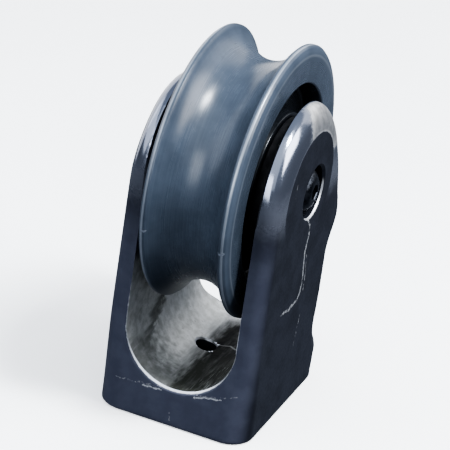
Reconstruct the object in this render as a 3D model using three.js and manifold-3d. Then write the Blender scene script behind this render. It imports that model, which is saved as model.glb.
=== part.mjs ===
// Upright single sheave block for a boat deck.
//
// Frame: +Z up, X along the axle, -Y the side the rope comes in from. The origin is the
// centre of the underside, and all lengths are in millimetres.
//
// A one-piece housing carries a grooved sheave on a roller bearing. The axle is clamped
// between the two cheeks by a button-head screw at each end.

import * as THREE from 'three';
import { mergeVertices } from 'three/addons/utils/BufferGeometryUtils.js';
import Module from 'manifold-3d';

const wasm = await Module();
wasm.setup();

// ---- Driving dimensions -------------------------------------------------------------

const AXLE_HEIGHT = 87;
const FIT_GAP = 0.3;
const ROUND_STEPS = 48;
const SMALL_STEPS = 32;
const ROLLER_STEPS = 16;

// How far a cutting tool stands out past the solid that it cuts.
const CUTTER_REACH = 5;

const HOUSING = {
  halfWidth: 28.4,
  frontY: -36,
  footHalfWidth: 29.4,
  footFrontY: -37.2,
  footBackY: 36.8,
  footCorner: 10,
  sideCorner: 5,
  footHeight: 40,
  footEdge: 1.6,
  topY: -5,
  topZ: AXLE_HEIGHT + 2,
  topRadius: 31,
  shoulderY: 34.8,
  shoulderZ: AXLE_HEIGHT - 19,
  waistY: 28.4,
  waistTopZ: AXLE_HEIGHT - 34,
  waistBottomZ: 28,
  flareZ: 12,
  crownDepth: 9.5,
  crownThickness: 5.4,
  frontEdge: 5.6,
  backEdge: 4,
};

// How the side outline runs from one straight stretch into the next.
const SIDE_CURVE = {
  overlap: 3,
  flareEase: 6,
  flareInset: 1,
  waistEase: 8,
  shoulderEase: 6,
  shoulderTurn: 4,
  shoulderInset: 3,
  shoulderRise: 10,
  backAngle: 22,
  frontStepLow: 8,
  frontStepHigh: 16,
};

const SLOT = {
  halfWidth: 21,
  floorZ: 14.7,
  frontChamfer: 0.3,
  backChamfer: 1,
  mouthFlare: 6,
};

const MOUNTING_HOLE = {
  radius: 4,
  x: -3.5,
  y: 2,
};

const SHEAVE = {
  radius: 50,
  halfWidth: 16.9,
  grooveRadius: 14.5,
  grooveFloor: 40.7,
  grooveLip: 0.4,
  landInnerX: 13.8,
  landOuterX: 15,
  noseRadius: 49,
  noseX: 16.2,
  bevelInner: 46.5,
  rimInner: 36.4,
  rimChamfer: 0.9,
  webHalfWidth: 9,
  webDraft: 1,
  hubRadius: 25.2,
  hubHalfWidth: 14.2,
};

const AXLE = {
  radius: 8,
  shoulderX: SLOT.halfWidth - FIT_GAP,
  spigotRadius: 6,
  tappedRadius: 4.3,
  tappedDepth: 18,
};

const COUNTERBORE = {
  radius: 9.6,
  floorX: 24.4,
  chamfer: 0.7,
};

const BOLT = {
  headRadius: 7.8,
  headHeight: 4,
  domeHeight: 2.6,
  crownRadius: 4.4,
  shankRadius: 4,
  shankLength: 16,
  shankChamfer: 0.8,
  socketAcrossFlats: 5,
  socketDepth: 2.6,
};

const BEARING = {
  rollerCount: 10,
  rollerRadius: 2.9,
  rollerHalfLength: 8,
  rollerChamfer: 0.4,
  pitchRadius: 14.8,
  halfLength: 10.4,
  innerRaceRadius: 11.6,
  innerRaceHalfLength: 14.2,
  outerRaceBore: 18,
  outerRaceRadius: 20.8,
  cageInner: 13.2,
  cageOuter: 16.4,
  cageHalfLength: 10.2,
  windowClearance: 0.35,
};

const RETAINING_RING = {
  innerRadius: 18.9,
  outerRadius: 22.2,
  nearX: 10.9,
  thickness: 1.3,
  opening: 7,
  seatClearance: 0.4,
};

const THRUST_WASHER = {
  outerRadius: 24,
  thickness: 6.2,
};

// ---- Solids -------------------------------------------------------------------------

// A closed three.js geometry as a solid that can be joined and cut.
function toSolid(geometry) {
  const bare = geometry.clone();
  bare.deleteAttribute('normal');
  bare.deleteAttribute('uv');
  const merged = mergeVertices(bare, 1e-4);
  return new wasm.Manifold(new wasm.Mesh({
    numProp: 3,
    vertProperties: new Float32Array(merged.attributes.position.array),
    triVerts: new Uint32Array(merged.index.array),
  }));
}

// A solid back as a three.js geometry.
function toGeometry(solid) {
  const mesh = solid.getMesh();
  const geometry = new THREE.BufferGeometry();
  geometry.setAttribute('position', new THREE.BufferAttribute(mesh.vertProperties, mesh.numProp));
  geometry.setIndex(new THREE.BufferAttribute(mesh.triVerts, 1));
  geometry.computeVertexNormals();
  return geometry;
}

// The solid that is left when every tool is cut out of the base geometry.
function cut(base, tools) {
  let solid = toSolid(base);
  for (const tool of tools) {
    solid = solid.subtract(toSolid(tool));
  }
  return toGeometry(solid);
}

// A closed skin over a stack of rings with the same number of points. The rings run
// counter-clockwise when seen from the far end of the stack. flatten gives a ring point's
// two coordinates in the plane of the end caps.
function loft(rings, flatten) {
  const count = rings[0].length;
  const positions = rings.flat().flatMap((point) => [point.x, point.y, point.z]);
  const index = [];
  for (let ring = 0; ring < rings.length - 1; ring += 1) {
    for (let i = 0; i < count; i += 1) {
      const a = ring * count + i;
      const b = ring * count + ((i + 1) % count);
      index.push(a, b, b + count, a, b + count, a + count);
    }
  }
  const last = (rings.length - 1) * count;
  for (const [a, b, c] of THREE.ShapeUtils.triangulateShape(rings[0].map(flatten), [])) {
    index.push(a, c, b);
  }
  for (const [a, b, c] of THREE.ShapeUtils.triangulateShape(rings.at(-1).map(flatten), [])) {
    index.push(last + a, last + b, last + c);
  }
  const geometry = new THREE.BufferGeometry();
  geometry.setAttribute('position', new THREE.Float32BufferAttribute(positions, 3));
  geometry.setIndex(index);
  return geometry;
}

// A body of revolution about the X axis. The profile's points are [radius, x].
function turned(profile, steps) {
  const points = profile.map(([radius, x]) => new THREE.Vector2(radius, x));
  const geometry = new THREE.LatheGeometry(points, steps);
  geometry.rotateZ(-Math.PI / 2);
  return geometry;
}

// A closed ring of rectangular section about the X axis.
function turnedRing(inner, outer, fromX, toX, steps) {
  return turned([[inner, fromX], [outer, fromX], [outer, toX], [inner, toX], [inner, fromX]], steps);
}

// A solid round bar along the X axis.
function turnedBar(radius, fromX, toX, steps) {
  return turned([[0, fromX], [radius, fromX], [radius, toX], [0, toX]], steps);
}

// ---- Housing ------------------------------------------------------------------------

// The side outline of the housing, in (y, z), counter-clockwise about +X.
function sideOutline() {
  const h = HOUSING;
  const c = SIDE_CURVE;
  const front = h.topY - h.topRadius;
  const outline = new THREE.Shape();
  outline.moveTo(h.footFrontY - c.overlap, 0);
  outline.lineTo(h.footBackY + c.overlap, 0);
  outline.lineTo(h.footBackY + c.overlap, h.flareZ);
  outline.bezierCurveTo(
    h.footBackY - c.flareInset,
    h.flareZ + c.flareEase,
    h.waistY,
    h.waistBottomZ - c.waistEase,
    h.waistY,
    h.waistBottomZ,
  );
  outline.lineTo(h.waistY, h.waistTopZ);
  outline.bezierCurveTo(
    h.waistY,
    h.waistTopZ + c.shoulderEase,
    h.shoulderY,
    h.shoulderZ - c.shoulderEase,
    h.shoulderY,
    h.shoulderZ,
  );
  outline.quadraticCurveTo(
    h.shoulderY,
    h.shoulderZ + c.shoulderTurn,
    h.shoulderY - c.shoulderInset,
    h.shoulderZ + c.shoulderRise,
  );
  outline.absarc(h.topY, h.topZ, h.topRadius, THREE.MathUtils.degToRad(c.backAngle), Math.PI, false);
  outline.lineTo(front, h.footHeight + c.frontStepHigh);
  outline.lineTo(front, h.footHeight + c.frontStepLow);
  outline.lineTo(h.footFrontY - c.overlap, h.footHeight);
  return outline;
}

// How deep the crowned edge reaches in from the outline, for an outward normal at the
// given height. It is widest over the top of the cheek and narrow down the back.
function edgeDepth(point, normal) {
  const h = HOUSING;
  const over = THREE.MathUtils.smoothstep(normal.y, -0.1, 0.8);
  const nearTop = THREE.MathUtils.smoothstep(point.y, h.shoulderZ, h.topZ + h.topRadius / 4);
  const crown = h.crownDepth * over * nearTop;
  if (normal.x > 0) {
    return Math.max(crown, h.backEdge * THREE.MathUtils.smoothstep(point.y, h.flareZ, h.waistBottomZ));
  }
  return Math.max(crown, h.frontEdge * THREE.MathUtils.smoothstep(point.y, h.footHeight, AXLE_HEIGHT));
}

// One body for both cheeks and the base, before anything is cut: the side outline pushed
// out along X, with its edge rounded off towards each outer face.
function sideBody() {
  const h = HOUSING;
  const curveSteps = 14;
  const edgeSteps = 5;
  const outline = sideOutline().getPoints(curveSteps);
  if (outline[0].equals(outline.at(-1))) {
    outline.pop();
  }
  const count = outline.length;
  const rims = outline.map((point, i) => {
    const along = outline[(i + 1) % count].clone().sub(outline[(i + count - 1) % count]).normalize();
    const normal = new THREE.Vector2(along.y, -along.x);
    const depth = edgeDepth(point, normal);
    return { point, normal, depth, thickness: Math.min(depth, h.crownThickness) };
  });
  const wide = h.footHalfWidth + h.footEdge;
  const half = [];
  for (let step = 0; step <= edgeSteps; step += 1) {
    const angle = (step / edgeSteps) * (Math.PI / 2);
    half.push(rims.map(({ point, normal, depth, thickness }) => {
      const inward = depth * (1 - Math.cos(angle));
      const y = point.x - normal.x * inward;
      const z = point.y - normal.y * inward;
      const x = h.halfWidth - thickness * (1 - Math.sin(angle));
      return new THREE.Vector3(x, y, z);
    }));
  }
  const flare = (point) => {
    const share = 1 - THREE.MathUtils.clamp(point.z / AXLE_HEIGHT, 0, 1);
    point.x *= THREE.MathUtils.lerp(1, wide / h.halfWidth, share);
    return point;
  };
  const mirrored = half.map((ring) => ring.map((p) => new THREE.Vector3(-p.x, p.y, p.z)));
  const rings = [...mirrored.reverse(), ...half].map((ring) => ring.map(flare));
  return loft(rings, (p) => new THREE.Vector2(p.y, p.z));
}

// A rounded rectangle in plan, counter-clockwise about +Z.
function planRing(halfWidth, frontY, backY, corner, z) {
  const cornerSteps = 6;
  const centres = [
    [halfWidth - corner, backY - corner],
    [-halfWidth + corner, backY - corner],
    [-halfWidth + corner, frontY + corner],
    [halfWidth - corner, frontY + corner],
  ];
  const ring = [];
  centres.forEach(([x, y], quarter) => {
    for (let step = 0; step <= cornerSteps; step += 1) {
      const angle = (quarter + step / cornerSteps) * (Math.PI / 2);
      ring.push(new THREE.Vector3(x + corner * Math.cos(angle), y + corner * Math.sin(angle), z));
    }
  });
  return ring;
}

// The plan of the housing at every height: wide and round-cornered at the foot, narrower
// and crisper at the cheeks.
function planBody() {
  const h = HOUSING;
  const top = h.topZ + h.topRadius + CUTTER_REACH;
  const section = (z, inset) => {
    const rise = THREE.MathUtils.smoothstep(z, 0, h.footHeight);
    const narrow = THREE.MathUtils.clamp(z / AXLE_HEIGHT, 0, 1);
    return planRing(
      THREE.MathUtils.lerp(h.footHalfWidth, h.halfWidth, narrow) - inset,
      THREE.MathUtils.lerp(h.footFrontY, h.frontY, rise) + inset,
      h.footBackY - inset,
      THREE.MathUtils.lerp(h.footCorner, h.sideCorner, rise),
      z,
    );
  };
  const rounded = h.footEdge * (1 - Math.SQRT1_2);
  const rings = [
    section(0, h.footEdge),
    section(rounded, rounded),
    section(h.footEdge, 0),
  ];
  const riseSteps = 4;
  for (let step = 1; step <= riseSteps; step += 1) {
    rings.push(section(h.footHeight * (step / riseSteps), 0));
  }
  rings.push(section(AXLE_HEIGHT, 0), section(top, 0));
  return loft(rings, (p) => new THREE.Vector2(p.x, p.y));
}

// The round-bottomed slot through the housing from front to back, flared at both mouths
// for the chamfer.
function slotCutter() {
  const arcSteps = 24;
  const top = HOUSING.topZ + HOUSING.topRadius + SLOT.halfWidth;
  const centreZ = SLOT.floorZ + SLOT.halfWidth;
  const ringAt = (y, grow) => {
    const radius = SLOT.halfWidth + grow;
    const ring = [new THREE.Vector3(-radius, y, top), new THREE.Vector3(radius, y, top)];
    for (let step = 0; step <= arcSteps; step += 1) {
      const angle = (step / arcSteps) * Math.PI;
      ring.push(new THREE.Vector3(radius * Math.cos(angle), y, centreZ - radius * Math.sin(angle)));
    }
    return ring;
  };
  const flare = SLOT.mouthFlare;
  const frontStart = HOUSING.frontY + SLOT.frontChamfer;
  const backStart = HOUSING.footBackY - SLOT.backChamfer;
  const rings = [
    ringAt(frontStart - flare, flare),
    ringAt(frontStart, 0),
    ringAt(backStart, 0),
    ringAt(backStart + flare, flare),
  ];
  return loft(rings, (p) => new THREE.Vector2(p.z, p.x));
}

// Everything that the axle and its screws need in the cheeks: a through bore and a
// chamfered counterbore in each outer face.
function axleCutters() {
  const reach = HOUSING.halfWidth + CUTTER_REACH;
  const bore = turnedBar(AXLE.spigotRadius + FIT_GAP, -reach, reach, SMALL_STEPS);
  const face = HOUSING.halfWidth;
  const mouth = COUNTERBORE.radius + COUNTERBORE.chamfer;
  const recess = turned([
    [0, COUNTERBORE.floorX],
    [COUNTERBORE.radius, COUNTERBORE.floorX],
    [COUNTERBORE.radius, face - COUNTERBORE.chamfer],
    [mouth, face],
    [mouth, reach],
    [0, reach],
  ], SMALL_STEPS);
  const opposite = recess.clone().rotateZ(Math.PI);
  return [bore, recess, opposite].map((geometry) => geometry.translate(0, 0, AXLE_HEIGHT));
}

// The plain hole for the deck bolt, straight down through the floor of the slot.
function mountingHoleCutter() {
  const m = MOUNTING_HOLE;
  const length = SLOT.floorZ + 2 * CUTTER_REACH;
  const hole = new THREE.CylinderGeometry(m.radius, m.radius, length, SMALL_STEPS);
  hole.rotateX(Math.PI / 2);
  hole.translate(m.x, m.y, SLOT.floorZ / 2);
  return hole;
}

function housingGeometry() {
  const body = toSolid(sideBody()).intersect(toSolid(planBody()));
  return cut(toGeometry(body), [slotCutter(), ...axleCutters(), mountingHoleCutter()]);
}

// ---- Sheave and bearing -------------------------------------------------------------

// One closed profile from its half at x > 0, which runs from the bore out and over to the
// given point on the middle plane, and the mirror image of that half.
function mirroredProfile(half, middle) {
  const mirrored = half.map(([radius, x]) => [radius, -x]).reverse();
  return [...half, middle, ...mirrored, half[0]].reverse();
}

function sheaveGeometry() {
  const s = SHEAVE;
  const grooveSteps = 6;
  const boreRadius = BEARING.outerRaceRadius + FIT_GAP;
  const ringSeat = RETAINING_RING.outerRadius + RETAINING_RING.seatClearance;
  const seatNear = RETAINING_RING.nearX - FIT_GAP;
  const seatFar = RETAINING_RING.nearX + RETAINING_RING.thickness + FIT_GAP;
  const half = [
    [boreRadius, seatNear],
    [ringSeat, seatNear],
    [ringSeat, seatFar],
    [boreRadius, seatFar],
    [boreRadius, s.hubHalfWidth],
    [s.hubRadius, s.hubHalfWidth],
    [s.hubRadius + s.webDraft, s.webHalfWidth],
    [s.rimInner - s.webDraft, s.webHalfWidth],
    [s.rimInner, s.halfWidth - s.rimChamfer],
    [s.rimInner + s.rimChamfer, s.halfWidth],
    [s.bevelInner, s.halfWidth],
    [s.noseRadius, s.noseX],
    [s.radius, s.landOuterX],
    [s.radius, s.landInnerX],
  ];
  const centre = s.grooveFloor + s.grooveRadius;
  const mouthAngle = Math.acos((centre - s.radius + s.grooveLip) / s.grooveRadius);
  for (let step = grooveSteps; step >= 1; step -= 1) {
    const angle = mouthAngle * (step / grooveSteps);
    half.push([centre - s.grooveRadius * Math.cos(angle), s.grooveRadius * Math.sin(angle)]);
  }
  return turned(mirroredProfile(half, [s.grooveFloor, 0]), ROUND_STEPS);
}

function outerRaceGeometry() {
  const b = BEARING;
  return turnedRing(b.outerRaceBore, b.outerRaceRadius, -b.halfLength, b.halfLength, ROUND_STEPS);
}

function innerRaceGeometry() {
  const b = BEARING;
  const length = b.innerRaceHalfLength;
  return turnedRing(AXLE.radius + FIT_GAP, b.innerRaceRadius, -length, length, SMALL_STEPS);
}

function cageGeometry() {
  const b = BEARING;
  const ring = turnedRing(b.cageInner, b.cageOuter, -b.cageHalfLength, b.cageHalfLength, SMALL_STEPS);
  const windows = [];
  for (let i = 0; i < b.rollerCount; i += 1) {
    const window = new THREE.BoxGeometry(
      2 * (b.rollerHalfLength + b.windowClearance),
      2 * (b.rollerRadius + b.windowClearance),
      2 * CUTTER_REACH,
    );
    window.translate(0, 0, b.pitchRadius);
    window.rotateX((i / b.rollerCount) * 2 * Math.PI);
    windows.push(window);
  }
  return cut(ring, windows);
}

function rollerGeometry() {
  const r = BEARING.rollerRadius;
  const l = BEARING.rollerHalfLength;
  const chamfer = BEARING.rollerChamfer;
  return turned([
    [0, -l],
    [r - chamfer, -l],
    [r, -l + chamfer],
    [r, l - chamfer],
    [r - chamfer, l],
    [0, l],
  ], ROLLER_STEPS);
}

// A flat ring with a gap at its lowest point, lying in the plane across the X axis from x = 0.
function retainingRingGeometry() {
  const r = RETAINING_RING;
  const ring = turnedRing(r.innerRadius, r.outerRadius, 0, r.thickness, ROUND_STEPS);
  const middle = (r.innerRadius + r.outerRadius) / 2;
  const opening = new THREE.BoxGeometry(2 * CUTTER_REACH, r.opening, 2 * CUTTER_REACH);
  opening.translate(0, 0, -middle);
  return cut(ring, [opening]);
}

// ---- Axle, washers and screws -------------------------------------------------------

function axleGeometry() {
  const a = AXLE;
  const end = COUNTERBORE.floorX;
  const bar = turned([
    [0, -end],
    [a.spigotRadius, -end],
    [a.spigotRadius, -a.shoulderX],
    [a.radius, -a.shoulderX],
    [a.radius, a.shoulderX],
    [a.spigotRadius, a.shoulderX],
    [a.spigotRadius, end],
    [0, end],
  ], SMALL_STEPS);
  const tapped = turnedBar(a.tappedRadius, end - a.tappedDepth, end + CUTTER_REACH, SMALL_STEPS);
  const opposite = tapped.clone().rotateZ(Math.PI);
  return cut(bar, [tapped, opposite]);
}

function thrustWasherGeometry() {
  const w = THRUST_WASHER;
  return turnedRing(AXLE.radius + FIT_GAP, w.outerRadius, -w.thickness / 2, w.thickness / 2, SMALL_STEPS);
}

// A button-head screw along +X: the underside of its head is at x = 0.
function boltGeometry() {
  const b = BOLT;
  const domeBase = b.headHeight - b.domeHeight;
  const domeSteps = 4;
  const profile = [
    [0, -b.shankLength],
    [b.shankRadius - b.shankChamfer, -b.shankLength],
    [b.shankRadius, -b.shankLength + b.shankChamfer],
    [b.shankRadius, 0],
    [b.headRadius, 0],
  ];
  for (let step = 0; step <= domeSteps; step += 1) {
    const angle = (step / domeSteps) * (Math.PI / 2);
    profile.push([
      THREE.MathUtils.lerp(b.crownRadius, b.headRadius, Math.cos(angle)),
      domeBase + b.domeHeight * Math.sin(angle),
    ]);
  }
  profile.push([0, b.headHeight]);
  const body = turned(profile, SMALL_STEPS);
  const circumradius = b.socketAcrossFlats / Math.sqrt(3);
  const socket = new THREE.CylinderGeometry(circumradius, circumradius, b.socketDepth * 2, 6);
  socket.rotateZ(-Math.PI / 2);
  socket.translate(b.headHeight, 0, 0);
  return cut(body, [socket]);
}

// ---- Materials ----------------------------------------------------------------------

function finish(colour, roughness, metalness) {
  return new THREE.MeshStandardMaterial({ color: colour, roughness, metalness });
}

const FINISH = {
  housing: finish(0x3a4150, 0.45, 0.6),
  sheave: finish(0x6f8090, 0.35, 0.4),
  steel: finish(0xb9bcc0, 0.25, 1),
  bearingSteel: finish(0xa4a7ab, 0.2, 1),
  brass: finish(0xb58d4a, 0.35, 1),
  acetal: finish(0x1c1d20, 0.5, 0),
};

// ---- Assembly -----------------------------------------------------------------------

const block = new THREE.Group();

function addPiece(parent, name, geometry, material, x = 0, y = 0, z = 0) {
  const mesh = new THREE.Mesh(geometry, material);
  mesh.name = name;
  mesh.position.set(x, y, z);
  parent.add(mesh);
  return mesh;
}

addPiece(block, 'housing', housingGeometry(), FINISH.housing);

const onAxle = new THREE.Group();
onAxle.position.z = AXLE_HEIGHT;
block.add(onAxle);

addPiece(onAxle, 'axle', axleGeometry(), FINISH.steel);
addPiece(onAxle, 'sheave', sheaveGeometry(), FINISH.sheave);
addPiece(onAxle, 'bearing_outer_race', outerRaceGeometry(), FINISH.bearingSteel);
addPiece(onAxle, 'bearing_inner_race', innerRaceGeometry(), FINISH.bearingSteel);
addPiece(onAxle, 'bearing_cage', cageGeometry(), FINISH.brass);

for (let i = 0; i < BEARING.rollerCount; i += 1) {
  const angle = (i / BEARING.rollerCount) * 2 * Math.PI;
  const name = `roller_${String(i + 1).padStart(2, '0')}`;
  const y = -BEARING.pitchRadius * Math.sin(angle);
  const z = BEARING.pitchRadius * Math.cos(angle);
  addPiece(onAxle, name, rollerGeometry(), FINISH.bearingSteel, 0, y, z);
}

const washerX = AXLE.shoulderX - THRUST_WASHER.thickness / 2;
const headX = COUNTERBORE.floorX + FIT_GAP;
for (const [side, sign] of [['left', -1], ['right', 1]]) {
  const ring = addPiece(
    onAxle,
    `retaining_ring_${side}`,
    retainingRingGeometry(),
    FINISH.steel,
    sign * RETAINING_RING.nearX,
  );
  addPiece(onAxle, `thrust_washer_${side}`, thrustWasherGeometry(), FINISH.acetal, sign * washerX);
  const bolt = addPiece(onAxle, `axle_bolt_${side}`, boltGeometry(), FINISH.steel, sign * headX);
  if (sign < 0) {
    ring.rotation.z = Math.PI;
    bolt.rotation.z = Math.PI;
  }
}

export default block;
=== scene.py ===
"""Looks of the upright single sheave block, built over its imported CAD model."""

import math

import bpy
import numpy as np
from mathutils import Matrix, Vector


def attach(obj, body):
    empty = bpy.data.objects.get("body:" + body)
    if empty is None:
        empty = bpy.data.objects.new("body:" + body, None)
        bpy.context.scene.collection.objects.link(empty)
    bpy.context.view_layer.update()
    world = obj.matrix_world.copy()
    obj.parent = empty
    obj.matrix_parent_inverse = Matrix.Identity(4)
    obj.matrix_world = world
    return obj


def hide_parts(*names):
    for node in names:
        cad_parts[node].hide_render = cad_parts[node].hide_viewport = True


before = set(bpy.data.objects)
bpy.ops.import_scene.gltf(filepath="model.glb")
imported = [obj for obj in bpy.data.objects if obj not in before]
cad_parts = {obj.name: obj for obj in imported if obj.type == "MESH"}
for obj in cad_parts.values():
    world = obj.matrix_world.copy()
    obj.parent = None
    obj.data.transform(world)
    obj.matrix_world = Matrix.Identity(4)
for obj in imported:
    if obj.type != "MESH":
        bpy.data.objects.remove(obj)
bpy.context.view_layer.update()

MM = 0.001
AXLE_Z = 87.0

# ---- Housing shape, in millimetres --------------------------------------------------

HALF_WIDTH = 28.4
FOOT_HALF_WIDTH = 29.4
FRONT_Y = -36.0
FOOT_FRONT_Y = -37.2
FOOT_BACK_Y = 36.8
FOOT_CORNER = 9.5
FOOT_HEIGHT = 40.0
FOOT_EDGE = 1.4
BELOW_DECK_Z = -20.0
TOP_Y = -5.0
TOP_Z = AXLE_Z + 2.0
TOP_RADIUS = 31.0
TOP_ARC_BACK_DEGREES = 22.0
SHOULDER_Y = 34.8
SHOULDER_Z = AXLE_Z - 19.0
KNEE_Y = SHOULDER_Y - 3.0
KNEE_Z = SHOULDER_Z + 10.0
WAIST_Y = 28.4
WAIST_TOP_Z = AXLE_Z - 34.0
WAIST_BOTTOM_Z = 28.0
FLARE_Z = 12.0
CROWN_DEPTH = 9.6
CROWN_THICKNESS = 6.3
FRONT_EDGE = 5.2
BACK_EDGE = 4.2
SLOT_HALF_WIDTH = 21.0
SLOT_CENTRE_Z = 14.7 + SLOT_HALF_WIDTH
BORE_RADIUS = 6.3
COUNTERBORE_RADIUS = 9.6
COUNTERBORE_FLOOR_X = 24.4
COUNTERBORE_EDGE = 0.9
HOLE_RADIUS = 4.0
HOLE_EDGE = 0.5
HOLE_X = -3.5
HOLE_Y = 2.0


def smoothstep(value, low, high):
    """0 at low and 1 at high, eased between them."""
    share = np.clip((value - low) / (high - low), 0.0, 1.0)
    return share * share * (3.0 - 2.0 * share)


def bezier(points, count):
    """Points along a Bezier curve of any degree, the last one left out."""
    t = np.linspace(0.0, 1.0, count, endpoint=False)[:, None]
    layer = [np.array(p, float) * np.ones_like(t) for p in points]
    while len(layer) > 1:
        layer = [a * (1.0 - t) + b * t for a, b in zip(layer, layer[1:])]
    return layer[0]


def side_outline():
    """The housing's outline seen from +X, as (y, z), run below the deck on purpose."""
    foot_back = (FOOT_BACK_Y, FLARE_Z)
    waist_bottom, waist_top = (WAIST_Y, WAIST_BOTTOM_Z), (WAIST_Y, WAIST_TOP_Z)
    shoulder, knee = (SHOULDER_Y, SHOULDER_Z), (KNEE_Y, KNEE_Z)
    back = math.radians(TOP_ARC_BACK_DEGREES)
    arc_back = (TOP_Y + TOP_RADIUS * math.cos(back), TOP_Z + TOP_RADIUS * math.sin(back))
    angles = np.linspace(back, math.pi, 160, endpoint=False)
    crown = [TOP_Y + TOP_RADIUS * np.cos(angles), TOP_Z + TOP_RADIUS * np.sin(angles)]
    heights = np.linspace(TOP_Z, 0.0, 60, endpoint=False)
    rise = smoothstep(heights, 0.0, FOOT_HEIGHT)
    front = [FOOT_FRONT_Y + (FRONT_Y - FOOT_FRONT_Y) * rise, heights]
    return np.concatenate([
        bezier([(FOOT_FRONT_Y, BELOW_DECK_Z), (FOOT_BACK_Y, BELOW_DECK_Z)], 8),
        bezier([(FOOT_BACK_Y, BELOW_DECK_Z), foot_back], 8),
        bezier(
            [foot_back, (FOOT_BACK_Y - 0.5, FLARE_Z + 7.0),
             (WAIST_Y, WAIST_BOTTOM_Z - 9.0), waist_bottom], 50),
        bezier([waist_bottom, waist_top], 6),
        bezier(
            [waist_top, (WAIST_Y, WAIST_TOP_Z + 6.0),
             (SHOULDER_Y, SHOULDER_Z - 6.0), shoulder], 50),
        bezier([shoulder, (SHOULDER_Y, SHOULDER_Z + 4.0), knee], 24),
        bezier([knee, arc_back], 8),
        np.stack(crown, 1),
        np.stack(front, 1),
        np.array([[FOOT_FRONT_Y, 0.0]]),
    ])


def outline_distance(points, outline):
    """Signed distance from (y, z) points to a closed outline, negative inside."""
    nearest = np.full(len(points), 1e9)
    inside = np.zeros(len(points), bool)
    for a, b in zip(outline, np.roll(outline, -1, 0)):
        along = b - a
        to = points - a
        share = np.clip((to @ along) / max(along @ along, 1e-12), 0.0, 1.0)
        away = to - share[:, None] * along
        nearest = np.minimum(nearest, (away * away).sum(1))
        crosses = (a[1] > points[:, 1]) != (b[1] > points[:, 1])
        if crosses.any():
            at = a[0] + (points[:, 1] - a[1]) * (b[0] - a[0]) / (b[1] - a[1] + 1e-30)
            inside ^= crosses & (points[:, 0] < at)
    distance = np.sqrt(nearest)
    distance[inside] *= -1.0
    return distance


class SideField:
    """The outline's distance on a fine grid, read back between its points."""

    def __init__(self, step=0.25):
        self.step = step
        self.low = np.array([-44.0, -8.0])
        self.count = (np.array([88.0, 136.0]) / step).astype(int) + 1
        y = self.low[0] + np.arange(self.count[0]) * step
        z = self.low[1] + np.arange(self.count[1]) * step
        grid = np.stack(np.meshgrid(y, z, indexing="ij"), -1).reshape(-1, 2)
        self.values = outline_distance(grid, side_outline()).reshape(self.count)

    def __call__(self, y, z):
        u = np.clip((y - self.low[0]) / self.step, 0.0, self.count[0] - 1.001)
        v = np.clip((z - self.low[1]) / self.step, 0.0, self.count[1] - 1.001)
        i, j = u.astype(int), v.astype(int)
        a, b = u - i, v - j
        g = self.values
        return (
            g[i, j] * (1 - a) * (1 - b) + g[i + 1, j] * a * (1 - b)
            + g[i, j + 1] * (1 - a) * b + g[i + 1, j + 1] * a * b
        )


def round_join(a, b, radius):
    """The overlap of two solids, with its edge rounded to a radius."""
    reach = np.hypot(np.maximum(a + radius, 0.0), np.maximum(b + radius, 0.0))
    return np.minimum(np.maximum(a, b), -radius) + reach


def chamfer_join(a, b, width):
    """The overlap of two solids, with its edge cut off at 45 degrees."""
    return np.maximum(np.maximum(a, b), (a + b + width) * math.sqrt(0.5))


SIDE = SideField()


def housing_field(x, y, z):
    """Below zero inside the housing, about a distance in millimetres near its surface."""
    side = SIDE(y, z)
    share = np.clip(z / AXLE_Z, 0.0, 1.0)
    half_width = FOOT_HALF_WIDTH + (HALF_WIDTH - FOOT_HALF_WIDTH) * share
    across = np.abs(x) - half_width
    # the edge between the outline and the outer faces: deep over the crown, broad at the foot
    lean = (z - TOP_Z) / np.maximum(np.hypot(y - TOP_Y, z - TOP_Z), 1e-6)
    over = smoothstep(lean, -0.15, 0.8) * smoothstep(z, AXLE_Z - 20.0, AXLE_Z + 10.0)
    foot = 1.0 - smoothstep(z, 0.0, FOOT_HEIGHT)
    front = 1.0 - smoothstep(y, -8.0, 8.0)
    edge = (FRONT_EDGE * front + BACK_EDGE * (1.0 - front)) * (1.0 - foot) + FOOT_CORNER * foot
    depth = edge + (CROWN_DEPTH - edge) * over
    thickness = edge + (CROWN_THICKNESS - edge) * over
    body = round_join(side * thickness / depth, across, thickness)
    body = round_join(body, -z, FOOT_EDGE)
    slot = np.where(
        z > SLOT_CENTRE_Z, np.abs(x), np.hypot(x, z - SLOT_CENTRE_Z)
    ) - SLOT_HALF_WIDTH
    beside_axle = smoothstep(z, AXLE_Z - 10.0, AXLE_Z + 10.0)
    mouth = 1.1 - 0.75 * smoothstep(z, 14.0, 42.0) + 0.5 * beside_axle
    body = chamfer_join(body, -slot, mouth)
    ring = np.hypot(y, z - AXLE_Z)
    counterbore = np.maximum(ring - COUNTERBORE_RADIUS, COUNTERBORE_FLOOR_X - np.abs(x))
    body = chamfer_join(body, -counterbore, COUNTERBORE_EDGE)
    body = np.maximum(body, BORE_RADIUS - ring)
    hole = np.hypot(x - HOLE_X, y - HOLE_Y) - HOLE_RADIUS
    return chamfer_join(body, -hole, HOLE_EDGE)


# ---- Meshes from fields and from turned profiles ------------------------------------

# rounds that narrow down where a grid edge crosses the surface
CROSSING_STEPS = 4
# how strongly a flat cell's point is held to the middle of its crossings
PULL_TO_CENTRE = 0.05
FILLET_STEP_DEGREES = 12.0
# a profile point with less radius than this is a pole
ON_AXIS = 1e-6


def gradient(field, points, step=0.05):
    """The field's unit slope at each point, from its values a step either side."""
    slopes = []
    for axis in range(3):
        shift = np.zeros(3)
        shift[axis] = step
        high, low = points + shift, points - shift
        slopes.append(field(*high.T) - field(*low.T))
    slopes = np.stack(slopes, 1)
    return slopes / np.maximum(np.linalg.norm(slopes, axis=1, keepdims=True), 1e-9)


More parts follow.
